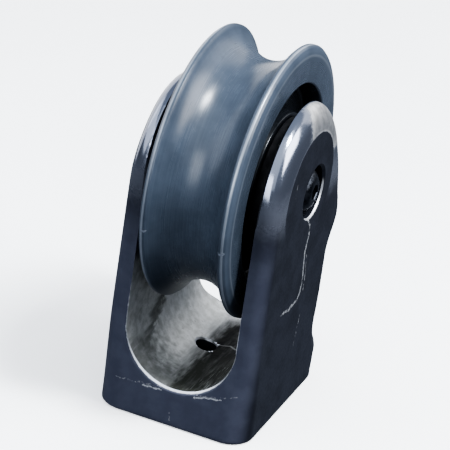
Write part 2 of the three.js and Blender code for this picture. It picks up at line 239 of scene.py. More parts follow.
def dual_contour(field, low, high, step):
    """A closed mesh of quads on the field's zero surface, with sharp edges kept."""
    low = np.array(low, float)
    count = np.ceil((np.array(high) - low) / step).astype(int) + 1
    axes = [low[i] + np.arange(count[i]) * step for i in range(3)]
    values = field(*np.meshgrid(*axes, indexing="ij"))
    cells = count - 1
    total = int(np.prod(cells))
    normals_matrix = np.zeros((total, 3, 3))
    normals_vector = np.zeros((total, 3))
    point_sum = np.zeros((total, 3))
    hits = np.zeros(total)
    quads = []
    for axis in range(3):
        near = [slice(None)] * 3
        far = [slice(None)] * 3
        near[axis], far[axis] = slice(0, -1), slice(1, None)
        a, b = values[tuple(near)], values[tuple(far)]
        index = np.argwhere((a < 0) != (b < 0))
        va, vb = a[tuple(index.T)], b[tuple(index.T)]
        start = low + index * step
        share = va / (va - vb)
        low_share, high_share = np.zeros_like(share), np.ones_like(share)
        for _ in range(CROSSING_STEPS):
            point = start.copy()
            point[:, axis] += share * step
            value = field(*point.T)
            same = (value < 0) == (va < 0)
            low_share = np.where(same, share, low_share)
            high_share = np.where(same, high_share, share)
            va, vb = np.where(same, value, va), np.where(same, vb, value)
            share = low_share + (high_share - low_share) * np.clip(va / (va - vb), 0.02, 0.98)
        point = start.copy()
        point[:, axis] += share * step
        normal = gradient(field, point)
        u, v = (axis + 1) % 3, (axis + 2) % 3
        corners = []
        for du, dv in ((0, 0), (-1, 0), (-1, -1), (0, -1)):
            cell = index.copy()
            cell[:, u] += du
            cell[:, v] += dv
            corners.append(np.ravel_multi_index(cell.T, cells))
        for flat in corners:
            np.add.at(normals_matrix, flat, normal[:, :, None] * normal[:, None, :])
            np.add.at(normals_vector, flat, normal * (normal * point).sum(1, keepdims=True))
            np.add.at(point_sum, flat, point)
            np.add.at(hits, flat, 1.0)
        quad = np.stack(corners, 1)
        leaving = values[tuple(index.T)] < 0
        quads.append(np.where(leaving[:, None], quad, quad[:, ::-1]))
    quads = np.concatenate(quads)
    used = np.unique(quads)
    centre = point_sum[used] / hits[used, None]
    matrix = normals_matrix[used] + PULL_TO_CENTRE * np.eye(3)
    right = normals_vector[used] - np.einsum("nij,nj->ni", normals_matrix[used], centre)
    moved = centre + np.linalg.solve(matrix, right[:, :, None])[:, :, 0]
    cell = np.stack(np.unravel_index(used, cells), 1)
    cell_low = low + cell * step
    moved = np.clip(moved, cell_low, cell_low + step)
    lookup = np.full(total, -1)
    lookup[used] = np.arange(len(used))
    return moved, lookup[quads]


def mesh_object(name, points_mm, faces, smooth_angle=30.0):
    """An object from points in millimetres, smooth but for edges above an angle."""
    mesh = bpy.data.meshes.new(name)
    mesh.from_pydata((np.asarray(points_mm) * MM).tolist(), [], [list(face) for face in faces])
    mesh.update()
    piece = bpy.data.objects.new(name, mesh)
    bpy.context.scene.collection.objects.link(piece)
    mesh.shade_smooth()
    mesh.set_sharp_from_angle(angle=math.radians(smooth_angle))
    return piece


def contoured(name, field, low, high, step, smooth_angle=30.0):
    """An object on a field's zero surface, in a box that holds all of it."""
    points, faces = dual_contour(field, low, high, step)
    return mesh_object(name, points, faces, smooth_angle)


def filleted(corners):
    """A closed profile with its corners rounded. A corner is (radius, x, fillet)."""
    out = []
    count = len(corners)
    for i, (*corner, fillet) in enumerate(corners):
        here = np.array(corner)
        before = np.array(corners[i - 1][:2]) - here
        after = np.array(corners[(i + 1) % count][:2]) - here
        if fillet == 0:
            out.append(here)
            continue
        before /= np.linalg.norm(before)
        after /= np.linalg.norm(after)
        half = math.acos(np.clip(before @ after, -1.0, 1.0)) / 2.0
        reach = fillet / math.tan(half)
        middle = here + (before + after) / np.linalg.norm(before + after) * fillet / math.sin(half)
        first = here + before * reach - middle
        last = here + after * reach - middle
        turn = math.pi - 2.0 * half
        steps = max(2, int(math.degrees(turn) / FILLET_STEP_DEGREES))
        for k in range(steps + 1):
            share = k / steps
            a = math.sin((1 - share) * turn) / math.sin(turn)
            b = math.sin(share * turn) / math.sin(turn)
            out.append(middle + first * a + last * b)
    return out


def turned(name, profile, steps, centre=(0.0, 0.0, AXLE_Z), dent=None):
    """A solid turned about X from a profile of (radius, x), closed or ending on the axis."""
    angles = np.linspace(0.0, 2.0 * math.pi, steps, endpoint=False)
    points, index = [], []
    closed = True
    for radius, x in profile:
        start = len(points)
        if radius < ON_AXIS:
            points.append((x, 0.0, 0.0))
            index.append([start] * steps)
            closed = False
            continue
        radii = np.full(steps, radius)
        if dent is not None:
            radii = radii - dent(radius, angles)
        for r, angle in zip(radii, angles):
            points.append((x, r * math.cos(angle), r * math.sin(angle)))
        index.append(list(range(start, start + steps)))
    faces = []
    pairs = list(zip(index, index[1:])) + ([(index[-1], index[0])] if closed else [])
    for a, b in pairs:
        for k in range(steps):
            n = (k + 1) % steps
            face = []
            for corner in (a[k], a[n], b[n], b[k]):
                if corner not in face:
                    face.append(corner)
            if len(face) > 2:
                faces.append(face)
    edges = zip(profile, profile[1:] + profile[:1])
    area = sum(a[0] * b[1] - b[0] * a[1] for a, b in edges)
    if area < 0:
        faces = [face[::-1] for face in faces]
    return mesh_object(name, np.array(points) + np.array(centre), faces)


def mirrored(piece, name):
    """A copy of a piece on the other side of the middle plane."""
    copy = piece.copy()
    copy.data = piece.data.copy()
    copy.name = copy.data.name = name
    copy.data.transform(Matrix.Scale(-1.0, 4, (1.0, 0.0, 0.0)))
    copy.data.flip_normals()
    bpy.context.scene.collection.objects.link(copy)
    return copy


def settle(piece, body, node, material):
    """Puts a finished piece on its body, in place of the CAD node it stands for."""
    piece.data.materials.clear()
    piece.data.materials.append(material)
    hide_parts(node)
    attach(piece, body)


# ---- Materials ----------------------------------------------------------------------

# the part of a noise's range over which one tint gives way to another
PATCHY = (0.35, 0.65)
CLOUDY = (0.3, 0.7)
NOISE_ROUGHNESS = 0.55
DEGREES = 180.0 / math.pi


class Wire:
    """One value in a node tree. Arithmetic on it adds the nodes that work it out."""

    def __init__(self, nodes, socket):
        self.nodes = nodes
        self.socket = socket

    def math(self, kind, *others, clamp=False):
        node = self.nodes.new("ShaderNodeMath", operation=kind, use_clamp=clamp)
        for slot, value in enumerate((self, *others)):
            self.nodes.feed(node.inputs[slot], value)
        return Wire(self.nodes, node.outputs[0])

    def __add__(self, other):
        return self.math("ADD", other)

    def __sub__(self, other):
        return self.math("SUBTRACT", other)

    def __mul__(self, other):
        return self.math("MULTIPLY", other)

    def __rsub__(self, other):
        return (self * -1.0) + other

    __radd__ = __add__

    def to(self, low, high):
        """0 at low and 1 at high, eased between them. low may be above high."""
        node = self.nodes.new("ShaderNodeMapRange", interpolation_type="SMOOTHSTEP")
        rising = not isinstance(low, Wire) and not isinstance(high, Wire) and low < high
        ends = (low, high, 0.0, 1.0) if rising else (high, low, 1.0, 0.0)
        for name, value in zip(("From Min", "From Max", "To Min", "To Max"), ends):
            self.nodes.feed(node.inputs[name], value)
        self.nodes.feed(node.inputs["Value"], self)
        return Wire(self.nodes, node.outputs["Result"])

    def hypot(self, other):
        """The length of the hypotenuse over two values."""
        return (self * self + other * other).math("SQRT")


class Nodes:
    """One material's node tree, with lengths in millimetres in the CAD frame."""

    def __init__(self, name, **settings):
        self.material = bpy.data.materials.new(name)
        self.material.use_nodes = True
        self.tree = self.material.node_tree
        self.shader = self.tree.nodes["Principled BSDF"]
        for key, value in settings.items():
            self.shader.inputs[key.replace("_", " ")].default_value = value
        coordinates = self.new("ShaderNodeTexCoord").outputs["Object"]
        self.place = self.vector("SCALE", coordinates, Scale=1.0 / MM)
        split = self.new("ShaderNodeSeparateXYZ")
        self.feed(split.inputs[0], self.place)
        self.x, self.y, self.z = (Wire(self, out) for out in split.outputs)

    def new(self, kind, **settings):
        """A node of a kind, with its own settings."""
        node = self.tree.nodes.new(kind)
        for key, value in settings.items():
            setattr(node, key, value)
        return node

    def feed(self, socket, value):
        """Links a value to a socket, or sets the socket to a plain number or colour."""
        if isinstance(value, Wire):
            value = value.socket
        if isinstance(value, bpy.types.NodeSocket):
            self.tree.links.new(value, socket)
        else:
            socket.default_value = value

    def vector(self, kind, *values, **named):
        """The result of vector arithmetic, or its length or dot product as a number."""
        node = self.new("ShaderNodeVectorMath", operation=kind)
        for slot, value in enumerate(values):
            self.feed(node.inputs[slot], value)
        for key, value in named.items():
            self.feed(node.inputs[key], value)
        return node.outputs["Value" if kind in ("LENGTH", "DOT_PRODUCT") else "Vector"]

    def join(self, x, y, z):
        """A vector from its three parts."""
        node = self.new("ShaderNodeCombineXYZ")
        for slot, value in enumerate((x, y, z)):
            self.feed(node.inputs[slot], value)
        return node.outputs[0]

    def noise(self, scale, detail=4.0, stretch=None, offset=0.0):
        """Noise about 0 to 1. scale is in features to a millimetre."""
        node = self.new("ShaderNodeTexNoise")
        place = self.place if stretch is None else self.vector("MULTIPLY", self.place, stretch)
        if offset:
            place = self.vector("ADD", place, (offset, offset * 0.7, -offset))
        self.feed(node.inputs["Vector"], place)
        node.inputs["Scale"].default_value = scale
        node.inputs["Detail"].default_value = detail
        node.inputs["Roughness"].default_value = NOISE_ROUGHNESS
        return Wire(self, node.outputs[0])

    def mix(self, share, a, b):
        """A colour that goes from a to b."""
        node = self.new("ShaderNodeMix", data_type="RGBA")
        self.feed(node.inputs[0], share)
        for slot, value in ((6, a), (7, b)):
            if isinstance(value, tuple):
                value = (*value, 1.0)
            self.feed(node.inputs[slot], value)
        return node.outputs[2]

    def blend(self, share, a, b):
        """A number that goes from a to b."""
        node = self.new("ShaderNodeMix", data_type="FLOAT")
        self.feed(node.inputs[0], share)
        self.feed(node.inputs[2], a)
        self.feed(node.inputs[3], b)
        return Wire(self, node.outputs[0])

    def most(self, *masks):
        """The highest of several masks."""
        out = masks[0]
        for mask in masks[1:]:
            out = out.math("MAXIMUM", mask)
        return out

    def line(self, place, points, width):
        """1 along a run of straight strokes, fading to 0 a width away."""
        strokes = []
        for a, b in zip(points, points[1:]):
            a, b = Vector(a), Vector(b)
            along = b - a
            away = self.vector("SUBTRACT", place, a)
            share = Wire(self, self.vector("DOT_PRODUCT", away, along / along.length_squared))
            share = share.math("ADD", 0.0, clamp=True)
            nearest = self.vector("SCALE", along, Scale=share)
            length = self.vector("LENGTH", self.vector("SUBTRACT", away, nearest))
            strokes.append(Wire(self, length))
        out = strokes[0]
        for stroke in strokes[1:]:
            out = out.math("MINIMUM", stroke)
        return out.to(width, width * 0.25)

    def bump(self, height, distance_mm):
        """A normal tilted by a height, at full strength."""
        node = self.new("ShaderNodeBump")
        node.inputs["Strength"].default_value = 1.0
        node.inputs["Distance"].default_value = distance_mm * MM
        self.feed(node.inputs["Height"], height)
        return node.outputs[0]

    def finish(self, **sockets):
        """The material, with values fed to its shader's sockets by name."""
        for key, value in sockets.items():
            self.feed(self.shader.inputs[key.replace("_", " ")], value)
        return self.material


def housing_wander(fine, blotch):
    """The millimetres, either way, that frays the edges of the housing's masks."""
    return (fine - 0.5) * 0.7 + (blotch - 0.5) * 1.2


def slot_angle(m):
    """Degrees round the slot's rounded bed: 0 at its lowest, rising to the right."""
    return m.x.math("ARCTAN2", (SLOT_CENTRE_Z - m.z)) * DEGREES


def enamel_colour(m, coarse, streaks):
    """The coating's own colour, near black, with painted light down the front face: a lighter
    slate than the sides.
    """
    enamel = m.mix(coarse.to(*PATCHY), (0.011, 0.012, 0.017), (0.017, 0.019, 0.026))
    # painted light: the front face, low down, is a lighter slate than the shaded sides
    front_painted_light = m.mix(coarse.to(*PATCHY), (0.054, 0.058, 0.082), (0.066, 0.071, 0.097))
    enamel = m.mix(m.y.to(-30.0, -36.5) * m.z.to(95.0, 60.0), enamel, front_painted_light)
    return m.mix(streaks * 0.25, enamel, (0.075, 0.085, 0.110))


def housing_coating():
    """Dark blue-black enamel over aluminium, worn through at the crowns and the slot's lip."""
    m = Nodes("housing_coating", IOR=1.32, Specular_IOR_Level=0.5)
    coarse, fine = m.noise(0.12), m.noise(0.9, 5.0)
    blotch, grain = m.noise(0.35, 6.0, offset=31.0), m.noise(3.2, 4.0, offset=9.0)
    across = m.x.math("ABSOLUTE")
    slot_radius = m.x.hypot((m.z - SLOT_CENTRE_Z).math("MINIMUM", 0.0))
    wander = housing_wander(fine, blotch)
    around = slot_angle(m)

    # the slot's front lip: bright along the bottom, thinning out up both sides
    bottom = around.math("ABSOLUTE").to(78.0, 25.0) + (blotch - 0.5) * 0.5
    lip_outer = 21.22 + bottom * 0.45 + (fine - 0.5) * 0.30
    lip = slot_radius.to(lip_outer + 0.15, lip_outer - 0.15)
    lip = lip * (blotch * 0.7 + m.z.to(60.0, 24.0) * 0.62).to(0.42, 0.85)

    # the crowns: rubbed bare over the top, burnished dark blue down the front
    crown_radius = (m.y - TOP_Y).hypot(m.z - TOP_Z)
    band = (crown_radius + wander * 0.5).to(21.6, 22.7)
    over_top = (m.y + (across - 24.5) * 0.9 + wander * 3.2).to(-10.5, -4.5)
    high = (m.z + wander * 4.0).to(97.0, 103.0)
    crown = band * over_top * high * across.to(21.9, 23.3)
    burnished = band * (m.z + wander * 5.0).to(77.0, 99.0) * (1.0 - crown)

    # the counterbores' chamfers: a painted highlight, bared bright low at the back where the light
    # falls on them, dull at the top front where they are shaded
    bore_radius = m.y.hypot(m.z - AXLE_Z)
    ring = bore_radius.to(9.64, 9.76) * bore_radius.to(10.35, 10.1) * across.to(24.0, 24.8)
    lit_low_back = (m.y * 0.55 - (m.z - AXLE_Z) * 0.83 + wander * 0.8).to(3.0, 7.4)
    shaded_high_front = ((m.z - AXLE_Z) * 0.55 - m.y * 0.83 + wander * 0.8).to(7.6, 9.6)
    ring = ring * m.most(lit_low_back, shaded_high_front * 0.45)

    # scratches, drawn on a place that wavers a little
    waver = m.new("ShaderNodeTexNoise")
    m.feed(waver.inputs["Vector"], m.place)
    waver.inputs["Scale"].default_value = 0.45
    shifted = m.vector("SUBTRACT", waver.outputs["Color"], (0.5, 0.5, 0.5))
    shifted = m.vector("ADD", m.place, m.vector("SCALE", shifted, Scale=1.8))
    side = HALF_WIDTH + 0.2
    rope_rub = m.line(shifted, [
        (side, -3.0, 78.2), (side, 0.9, 74.1), (side, 1.7, 69.9), (side, -0.1, 64.6),
        (side, 0.6, 58.0), (side, 1.9, 52.7), (side, 1.7, 47.8), (side, -1.2, 45.0),
        (side + 0.2, -8.6, 44.5), (side, -16.8, 45.6),
    ], 0.8)
    scuffs = m.most(
        m.line(shifted, [(side, 2.4, 62.0), (side, 4.3, 53.0), (side, 4.6, 46.0)], 0.5),
        m.line(shifted, [(side + 0.2, 5.3, 36.5), (side + 0.3, 3.4, 25.0)], 0.4),
        m.line(shifted, [(side, -24.6, 104.0), (side, -24.9, 99.5)], 0.4),
        m.line(shifted, [(side, -19.7, 96.5), (side, -20.2, 92.0)], 0.4),
        m.line(shifted, [(-27.0, -36.2, 12.5), (-23.5, -36.8, 12.4)], 0.4),
        m.line(shifted, [(0.2, -37.0, 5.6), (0.8, -37.0, 2.5)], 0.35),
    )
    dashes = m.most(
        m.line(shifted, [(-11.2, -36.8, 13.1), (-4.2, -36.9, 13.4)], 0.45),
        m.line(shifted, [(8.6, -36.8, 14.6), (18.5, -36.6, 17.0)], 0.5),
    )
    crease = m.line(shifted, [(-25.0, -36.8, 12.5), (14.0, -36.8, 16.3), (25.0, -36.6, 20.0)], 0.4)
    broken = m.noise(0.8, 5.0, offset=17.0)
    scratches = m.most(
        rope_rub * (broken + 0.02).to(0.36, 0.60) * 0.8,
        scuffs * broken.to(0.40, 0.58) * 0.5,
        dashes * broken.to(0.30, 0.5),
        crease * broken.to(0.45, 0.62) * 0.35,
    )
    # scraped marks, plus the counterbores' painted highlight
    scraped_and_highlight = m.most(lip, ring, scratches)
    bare = m.most(scraped_and_highlight, crown)

    streaks = m.noise(2.2, 3.0, stretch=(1.0, 1.0, 0.07), offset=5.0).to(0.66, 0.74)
    colour = m.mix(burnished, enamel_colour(m, coarse, streaks), (0.22, 0.235, 0.28))
    polished = m.mix(blotch.to(*PATCHY), (0.52, 0.515, 0.505), (0.70, 0.69, 0.68))
    colour = m.mix(bare, colour, m.mix(scraped_and_highlight, polished, (0.72, 0.73, 0.76)))
    rough = m.blend(fine.to(*CLOUDY), 0.28, 0.36)
    rough = m.blend(burnished, rough, m.blend(blotch, 0.13, 0.20))
    rough = m.blend(bare, rough, m.blend(grain, 0.34, 0.50))
    height = m.noise(1.1, 3.0, offset=12.0) * 0.035 + grain * 0.008 - bare * 0.2
    return m.finish(
        Base_Color=colour, Metallic=m.most(bare, burnished * 0.9), Roughness=rough,
        Normal=m.bump(height, 0.16),
    )


def slot_casting():
    """The slot's walls: bare cast metal low down, with pits and painted shadow, enamelled above.
    """
    m = Nodes("slot_casting", IOR=1.32, Specular_IOR_Level=0.5)
    coarse, fine = m.noise(0.12), m.noise(0.9, 5.0)
    blotch = m.noise(0.35, 6.0, offset=31.0)
    wander = housing_wander(fine, blotch)
    trough = (m.z + (coarse - 0.5) * 18.0 + (fine - 0.5) * 6.0).to(66.0, 57.0)

    # painted shadow, drawn out along the rope's way: black right of the middle where the right
    # cheek shades the bed, and in a slanting streak on the left where the flange shades it; darker
    # olive towards the front, with the bright bed between them
    drawn = m.noise(0.55, 6.0, stretch=(1.0, 0.16, 1.0), offset=3.0)
    specks = m.noise(1.5, 5.0, offset=55.0)
    around = slot_angle(m)
    turn = around + (drawn - 0.5) * 26.0 + (blotch - 0.5) * 14.0
    right_painted_shadow = turn.to(-24.0, 2.0) * (m.y + wander * 6.0).to(34.0, 22.0)
    slant = turn + m.y * 1.5 + 88.0
    left_painted_shadow = slant.to(-14.0, -2.0) * slant.to(12.0, 1.0) * m.y.to(14.0, -2.0) * 0.7
    front_olive = (m.y + (blotch - 0.5) * 22.0 + (drawn - 0.5) * 12.0).to(-6.0, -32.0)
    front_olive = front_olive * m.blend(turn.to(-70.0, -55.0), 0.25, 0.72)
    painted_shade_and_olive = m.most(right_painted_shadow, left_painted_shadow, front_olive)
    pits = specks.to(0.64, 0.72) * blotch.to(0.40, 0.55)
    shade_and_dirt = m.most(painted_shade_and_olive * (drawn * 0.5 + 0.74).math("MINIMUM", 1.0), pits * 0.75)

    # fine drawn scratches low right at the front, and a scuffed line by the hole
    hairs = m.noise(2.6, 3.0, stretch=(1.0, 0.05, 1.0), offset=63.0).to(0.56, 0.66)
    hairs = hairs * turn.to(8.0, 22.0) * (m.y + wander * 6.0).to(-8.0, -16.0)
    scuff = m.line(
        m.place, [(0.2, 5.0, 15.0), (4.5, 6.0, 15.2), (8.0, 2.5, 16.3), (12.5, 4.0, 18.8)], 0.6)

    cast = m.mix(blotch.to(*CLOUDY), (0.50, 0.505, 0.49), (0.70, 0.705, 0.70))
    # the colour of the painted shadow and of the pits, turning olive towards the front
    shade_and_soot = m.mix(blotch.to(0.4, 0.6), (0.006, 0.006, 0.006), (0.022, 0.022, 0.018))
    shade_and_soot = m.mix((m.y + wander * 8.0).to(0.0, -14.0) * 0.8, shade_and_soot, (0.050, 0.052, 0.044))
    cast = m.mix(shade_and_dirt, cast, shade_and_soot)
    cast = m.mix(m.most(hairs * 0.6, scuff * 0.8), cast, (0.40, 0.40, 0.39))
    colour = m.mix(trough, enamel_colour(m, coarse, 0.0), cast)
    rough = m.blend(shade_and_dirt, 0.46, 0.66) + (specks - 0.5) * 0.2
    height = specks * 0.4 + drawn * 0.4 + hairs * 0.3 - pits * 0.35
    return m.finish(
        Base_Color=colour, Metallic=trough * (0.35 - shade_and_dirt * 0.3),
        Roughness=m.blend(trough, 0.32, rough), Normal=m.bump(height * trough, 0.16),
    )


def sheave_anodising():
    """Slate-blue hard anodising, rubbed bright on the rims, which also carry a painted highlight,
    with painted shade in the recess and on the flanges' outer faces.
    """
    m = Nodes("sheave_anodising", IOR=1.45, Specular_IOR_Level=0.5)
    above_axle = m.z - AXLE_Z
    radius = m.y.hypot(above_axle)
    angle = m.y.math("ARCTAN2", above_axle)
    across = m.x.math("ABSOLUTE")
    turned_place = m.join(m.x, radius, angle * 3.0)

    def round_noise(scale, detail, stretch, offset=0.0):
        """Noise drawn out round the axle, as turning leaves it."""
        node = m.new("ShaderNodeTexNoise")
        place = m.vector("MULTIPLY", turned_place, stretch)
        m.feed(node.inputs["Vector"], m.vector("ADD", place, (offset, 0.0, offset)))
        node.inputs["Scale"].default_value = scale
        node.inputs["Detail"].default_value = detail
        return Wire(m, node.outputs[0])

    rings = round_noise(1.5, 3.0, (1.0, 1.0, 0.12))
    hair = round_noise(4.0, 3.0, (1.0, 1.0, 0.3), 8.0)
    cloud, spots = m.noise(0.09, 4.0), m.noise(1.4, 4.0, offset=21.0)
    colour = m.mix(cloud.to(*CLOUDY), (0.044, 0.056, 0.076), (0.060, 0.075, 0.100))
    colour = m.mix(rings.to(0.45, 0.75) * 0.18, colour, (0.105, 0.125, 0.150))
    # a thin line on each rim, partly rubbed lighter and partly a painted highlight, a faint
    # painted highlight at the bevel's inner edge, and the bare metal in each rim's nick
    rim = radius.to(49.62, 49.84) * across.to(14.35, 14.75) * across.to(15.55, 15.2)
    rim = rim * (cloud * 0.6 + 0.15)
    bevel = across.to(16.45, 16.6) * radius.to(45.7, 46.1) * radius.to(47.1, 46.6) * 0.15
    nicks = m.most(*(m.line(m.place, points, 0.55) for points in (
        [(-15.0, -48.9, 77.6), (-14.2, -48.9, 77.2), (-13.2, -48.7, 77.4)],
        [(13.2, -48.7, 77.4), (14.6, -48.9, 77.1), (15.6, -48.8, 77.6)],
    )))
    bare = m.most(rim * 0.8, bevel, nicks)
    colour = m.mix(bare, colour, (0.52, 0.56, 0.62))
    # painted shade: the flanges' outer faces are made darker than the groove
    colour = m.mix(across.to(16.2, 16.8) * 0.35, colour, (0.030, 0.038, 0.050))
    # painted shade: the deep recess inside the flanges is made near black
    recess_painted_shade = radius.to(36.9, 35.6)
    colour = m.mix(recess_painted_shade * 0.92, colour, (0.008, 0.009, 0.011))
    dust = spots.to(0.60, 0.80) * 0.16
    colour = m.mix(dust, colour, (0.15, 0.175, 0.205))
    rough = m.blend(radius.to(47.5, 43.0), 0.30, 0.27) + (hair - 0.5) * 0.04 + (cloud - 0.5) * 0.04
    height = rings * 0.016 + hair * 0.010 + spots * 0.006
    return m.finish(
        Base_Color=colour, Metallic=bare, Roughness=rough, Normal=m.bump(height, 0.12)
    )


def turned_metal(name, dark, light, low_rough, high_rough, tarnish=(0.1, 0.09, 0.08)):
    """Bright turned metal: fine rings about the axle, dulled in patches."""
    m = Nodes(name, Metallic=1.0)
    radius = m.y.hypot(m.z - AXLE_Z)
    lathe = m.new("ShaderNodeTexNoise")
    m.feed(lathe.inputs["Vector"], m.join(m.x, radius, 0.0))
    lathe.inputs["Scale"].default_value = 4.0
    rings = Wire(m, lathe.outputs[0])
    patch, spots = m.noise(0.4, 5.0), m.noise(2.0, 3.0, offset=40.0)
    colour = m.mix(patch.to(*PATCHY), dark, light)
    colour = m.mix(spots.to(0.64, 0.76) * 0.5, colour, tarnish)
    rough = m.blend(patch.to(*CLOUDY), low_rough, high_rough) + (rings - 0.5) * 0.1
    return m.finish(Base_Color=colour, Roughness=rough, Normal=m.bump(rings + spots * 0.5, 0.03))


def black_acetal():
    """Dull black plastic with a fine grain."""
    m = Nodes("black_acetal", IOR=1.48)
    grain, patch = m.noise(2.5, 4.0), m.noise(0.3, 3.0, offset=6.0)
    colour = m.mix(patch.to(*PATCHY), (0.010, 0.010, 0.012), (0.022, 0.022, 0.025))
    return m.finish(
        Base_Color=colour, Roughness=m.blend(patch, 0.4, 0.58), Normal=m.bump(grain, 0.04)
    )


def studio_floor():
    """Near-white paper with a glow of its own, which keeps it close to white all over."""
    m = Nodes("studio_floor", IOR=1.4, Specular_IOR_Level=0.2)
    cloud = m.noise(0.004, 3.0)
    colour = m.mix(cloud.to(*CLOUDY), (0.80, 0.80, 0.80), (0.83, 0.83, 0.83))
    m.feed(m.shader.inputs["Emission Color"], colour)
    return m.finish(
        Base_Color=colour, Emission_Strength=0.5, Roughness=m.blend(cloud, 0.75, 0.85))


HOUSING_COATING = housing_coating()
SLOT_CASTING = slot_casting()
SHEAVE_ANODISING = sheave_anodising()
STAINLESS = turned_metal("stainless_steel", (0.42, 0.42, 0.43), (0.60, 0.60, 0.61), 0.22, 0.38)
BOLT_STEEL = turned_metal("bolt_steel", (0.038, 0.042, 0.050), (0.080, 0.085, 0.098), 0.24, 0.38)
BEARING_STEEL = turned_metal("bearing_steel", (0.50, 0.50, 0.50), (0.66, 0.66, 0.66), 0.12, 0.24)
SPRING_STEEL = turned_metal("spring_steel", (0.16, 0.17, 0.19), (0.30, 0.31, 0.33), 0.26, 0.40)
CAGE_BRASS = turned_metal(
    "cage_brass", (0.45, 0.31, 0.12), (0.62, 0.45, 0.20), 0.26, 0.42, (0.12, 0.08, 0.03))
ACETAL = black_acetal()

# ---- Pieces -------------------------------------------------------------------------

# how far from the slot's surface a face's middle may be and still have the slot's material
SLOT_FACE_MARGIN = 0.05
# the sheave's groove, and the nicks in its rims
SHEAVE_RADIUS = 50.0
GROOVE_RADIUS = 14.5
GROOVE_CENTRE = 55.2
GROOVE_MOUTH_DROP = 0.35
NICK_DEPTH = 0.35
NICK_HALF_LENGTH = 1.3
NICK_ANGLE = math.atan2(-49.1, -9.5)
NICKED_RADIUS = 49.3
# the bearing
ROLLERS = 10
PITCH_RADIUS = 14.8
ROLLER_RADIUS = 2.9
ROLLER_HALF_LENGTH = 8.0
CAGE_HALF_WALL = 1.6
CAGE_HALF_LENGTH = 10.2
WINDOW_HALF_WIDTH = 3.25
WINDOW_HALF_LENGTH = 8.35
# the retaining rings
RING_RADIUS = 20.55
RING_HALF_WALL = 1.65
RING_X = 11.55
RING_HALF_THICKNESS = 0.65
RING_HALF_GAP = 3.5
PLIER_HOLE_Y = 5.1
PLIER_HOLE_Z = -19.9
PLIER_HOLE_RADIUS = 0.75
# the axle screws
HEAD_SEAT_X = 24.7
HEAD_TOP_X = 28.7
HEAD_RADIUS = 7.8
DOME_CENTRE_X = 19.42
DOME_RADIUS = 10.27
SOCKET_HALF_FLATS = 2.5
SOCKET_FLOOR_X = 26.1
SOCKET_FLOOR_SLOPE = 0.55
SHANK_RADIUS = 4.0
SHANK_LOW_X = 8.7
SHANK_HIGH_X = 25.0
THREAD_PITCH = 1.25
THREAD_DEPTH = 0.28

housing = contoured(
    "housing_body", housing_field, (-31.0, -39.5, -2.0), (31.0, 38.5, 122.0), 0.8, 28.0)
settle(housing, "frame", "housing", HOUSING_COATING)
housing.data.materials.append(SLOT_CASTING)
for face in housing.data.polygons:
    x, _, z = face.center / MM
    if math.hypot(x, min(z - SLOT_CENTRE_Z, 0.0)) < SLOT_HALF_WIDTH + SLOT_FACE_MARGIN:
        face.material_index = 1


def sheave_profile():
    """The sheave's section: a round-bottomed groove, flat flanges with a bevelled rim."""
    mouth = math.acos((GROOVE_CENTRE - SHEAVE_RADIUS + GROOVE_MOUTH_DROP) / GROOVE_RADIUS)
    corners = [
        (21.1, 10.6, 0.1), (22.6, 10.6, 0.15), (22.6, 12.5, 0.15), (21.1, 12.5, 0.15),
        (21.1, 14.2, 0.4), (25.2, 14.2, 0.7), (26.2, 9.0, 1.6), (35.4, 9.0, 1.6),
        (36.4, 16.9, 0.9), (46.5, 16.9, 1.4), (49.1, 16.1, 1.0), (SHEAVE_RADIUS, 15.1, 0.55),
        (SHEAVE_RADIUS, 13.75, 0.45),
    ]
    # the two guide corners only steer the fillets next to them
    rounded = filleted([(20.0, 0.0, 0.0), *corners, (45.0, 11.6, 0.0)])[1:-1]
    groove = [
        (GROOVE_CENTRE - GROOVE_RADIUS * math.cos(a), GROOVE_RADIUS * math.sin(a))
        for a in np.linspace(mouth, 0.0, 40, endpoint=False)[1:]
    ]
    right = [tuple(corner) for corner in rounded] + groove
    left = [(radius, -x) for radius, x in reversed(right)]
    return [*right, (GROOVE_CENTRE - GROOVE_RADIUS, 0.0), *left]


def rim_nicks(radius, angles):
    """A small dent in the front of each rim, level on the two flanges."""
    if radius < NICKED_RADIUS:
        return np.zeros_like(angles)
    turn = (angles - NICK_ANGLE + math.pi) % (2 * math.pi) - math.pi
    return NICK_DEPTH * np.clip(1.0 - np.abs(turn) * radius / NICK_HALF_LENGTH, 0.0, 1.0)


sheave = turned("sheave_wheel", sheave_profile(), 288, dent=rim_nicks)
settle(sheave, "sheave", "sheave", SHEAVE_ANODISING)


def ring_profile(inner, outer, low, high, edge):
    """The section of a plain ring: its two radii, its two ends in x, and its fillets."""
    corners = ((inner, low), (outer, low), (outer, high), (inner, high))
    return filleted([(*corner, edge) for corner in corners])


outer_race = turned("outer_race", ring_profile(18.0, 20.8, -10.4, 10.4, 0.4), 128)
settle(outer_race, "sheave", "bearing_outer_race", BEARING_STEEL)
inner_race = turned("inner_race", ring_profile(8.3, 11.6, -14.2, 14.2, 0.4), 96)
settle(inner_race, "frame", "bearing_inner_race", BEARING_STEEL)

axle_corners = [
    (0.0, -6.4, 0.0), (4.3, -7.6, 0.0), (4.3, -24.4, 0.2), (6.0, -24.4, 0.35),
    (6.0, -20.7, 0.1), (8.0, -20.7, 0.4), (8.0, 20.7, 0.4), (6.0, 20.7, 0.1),
    (6.0, 24.4, 0.35), (4.3, 24.4, 0.2), (4.3, 7.6, 0.0), (0.0, 6.4, 0.0),
]
axle = turned("axle_pin", filleted(axle_corners), 96)
settle(axle, "frame", "axle", STAINLESS)

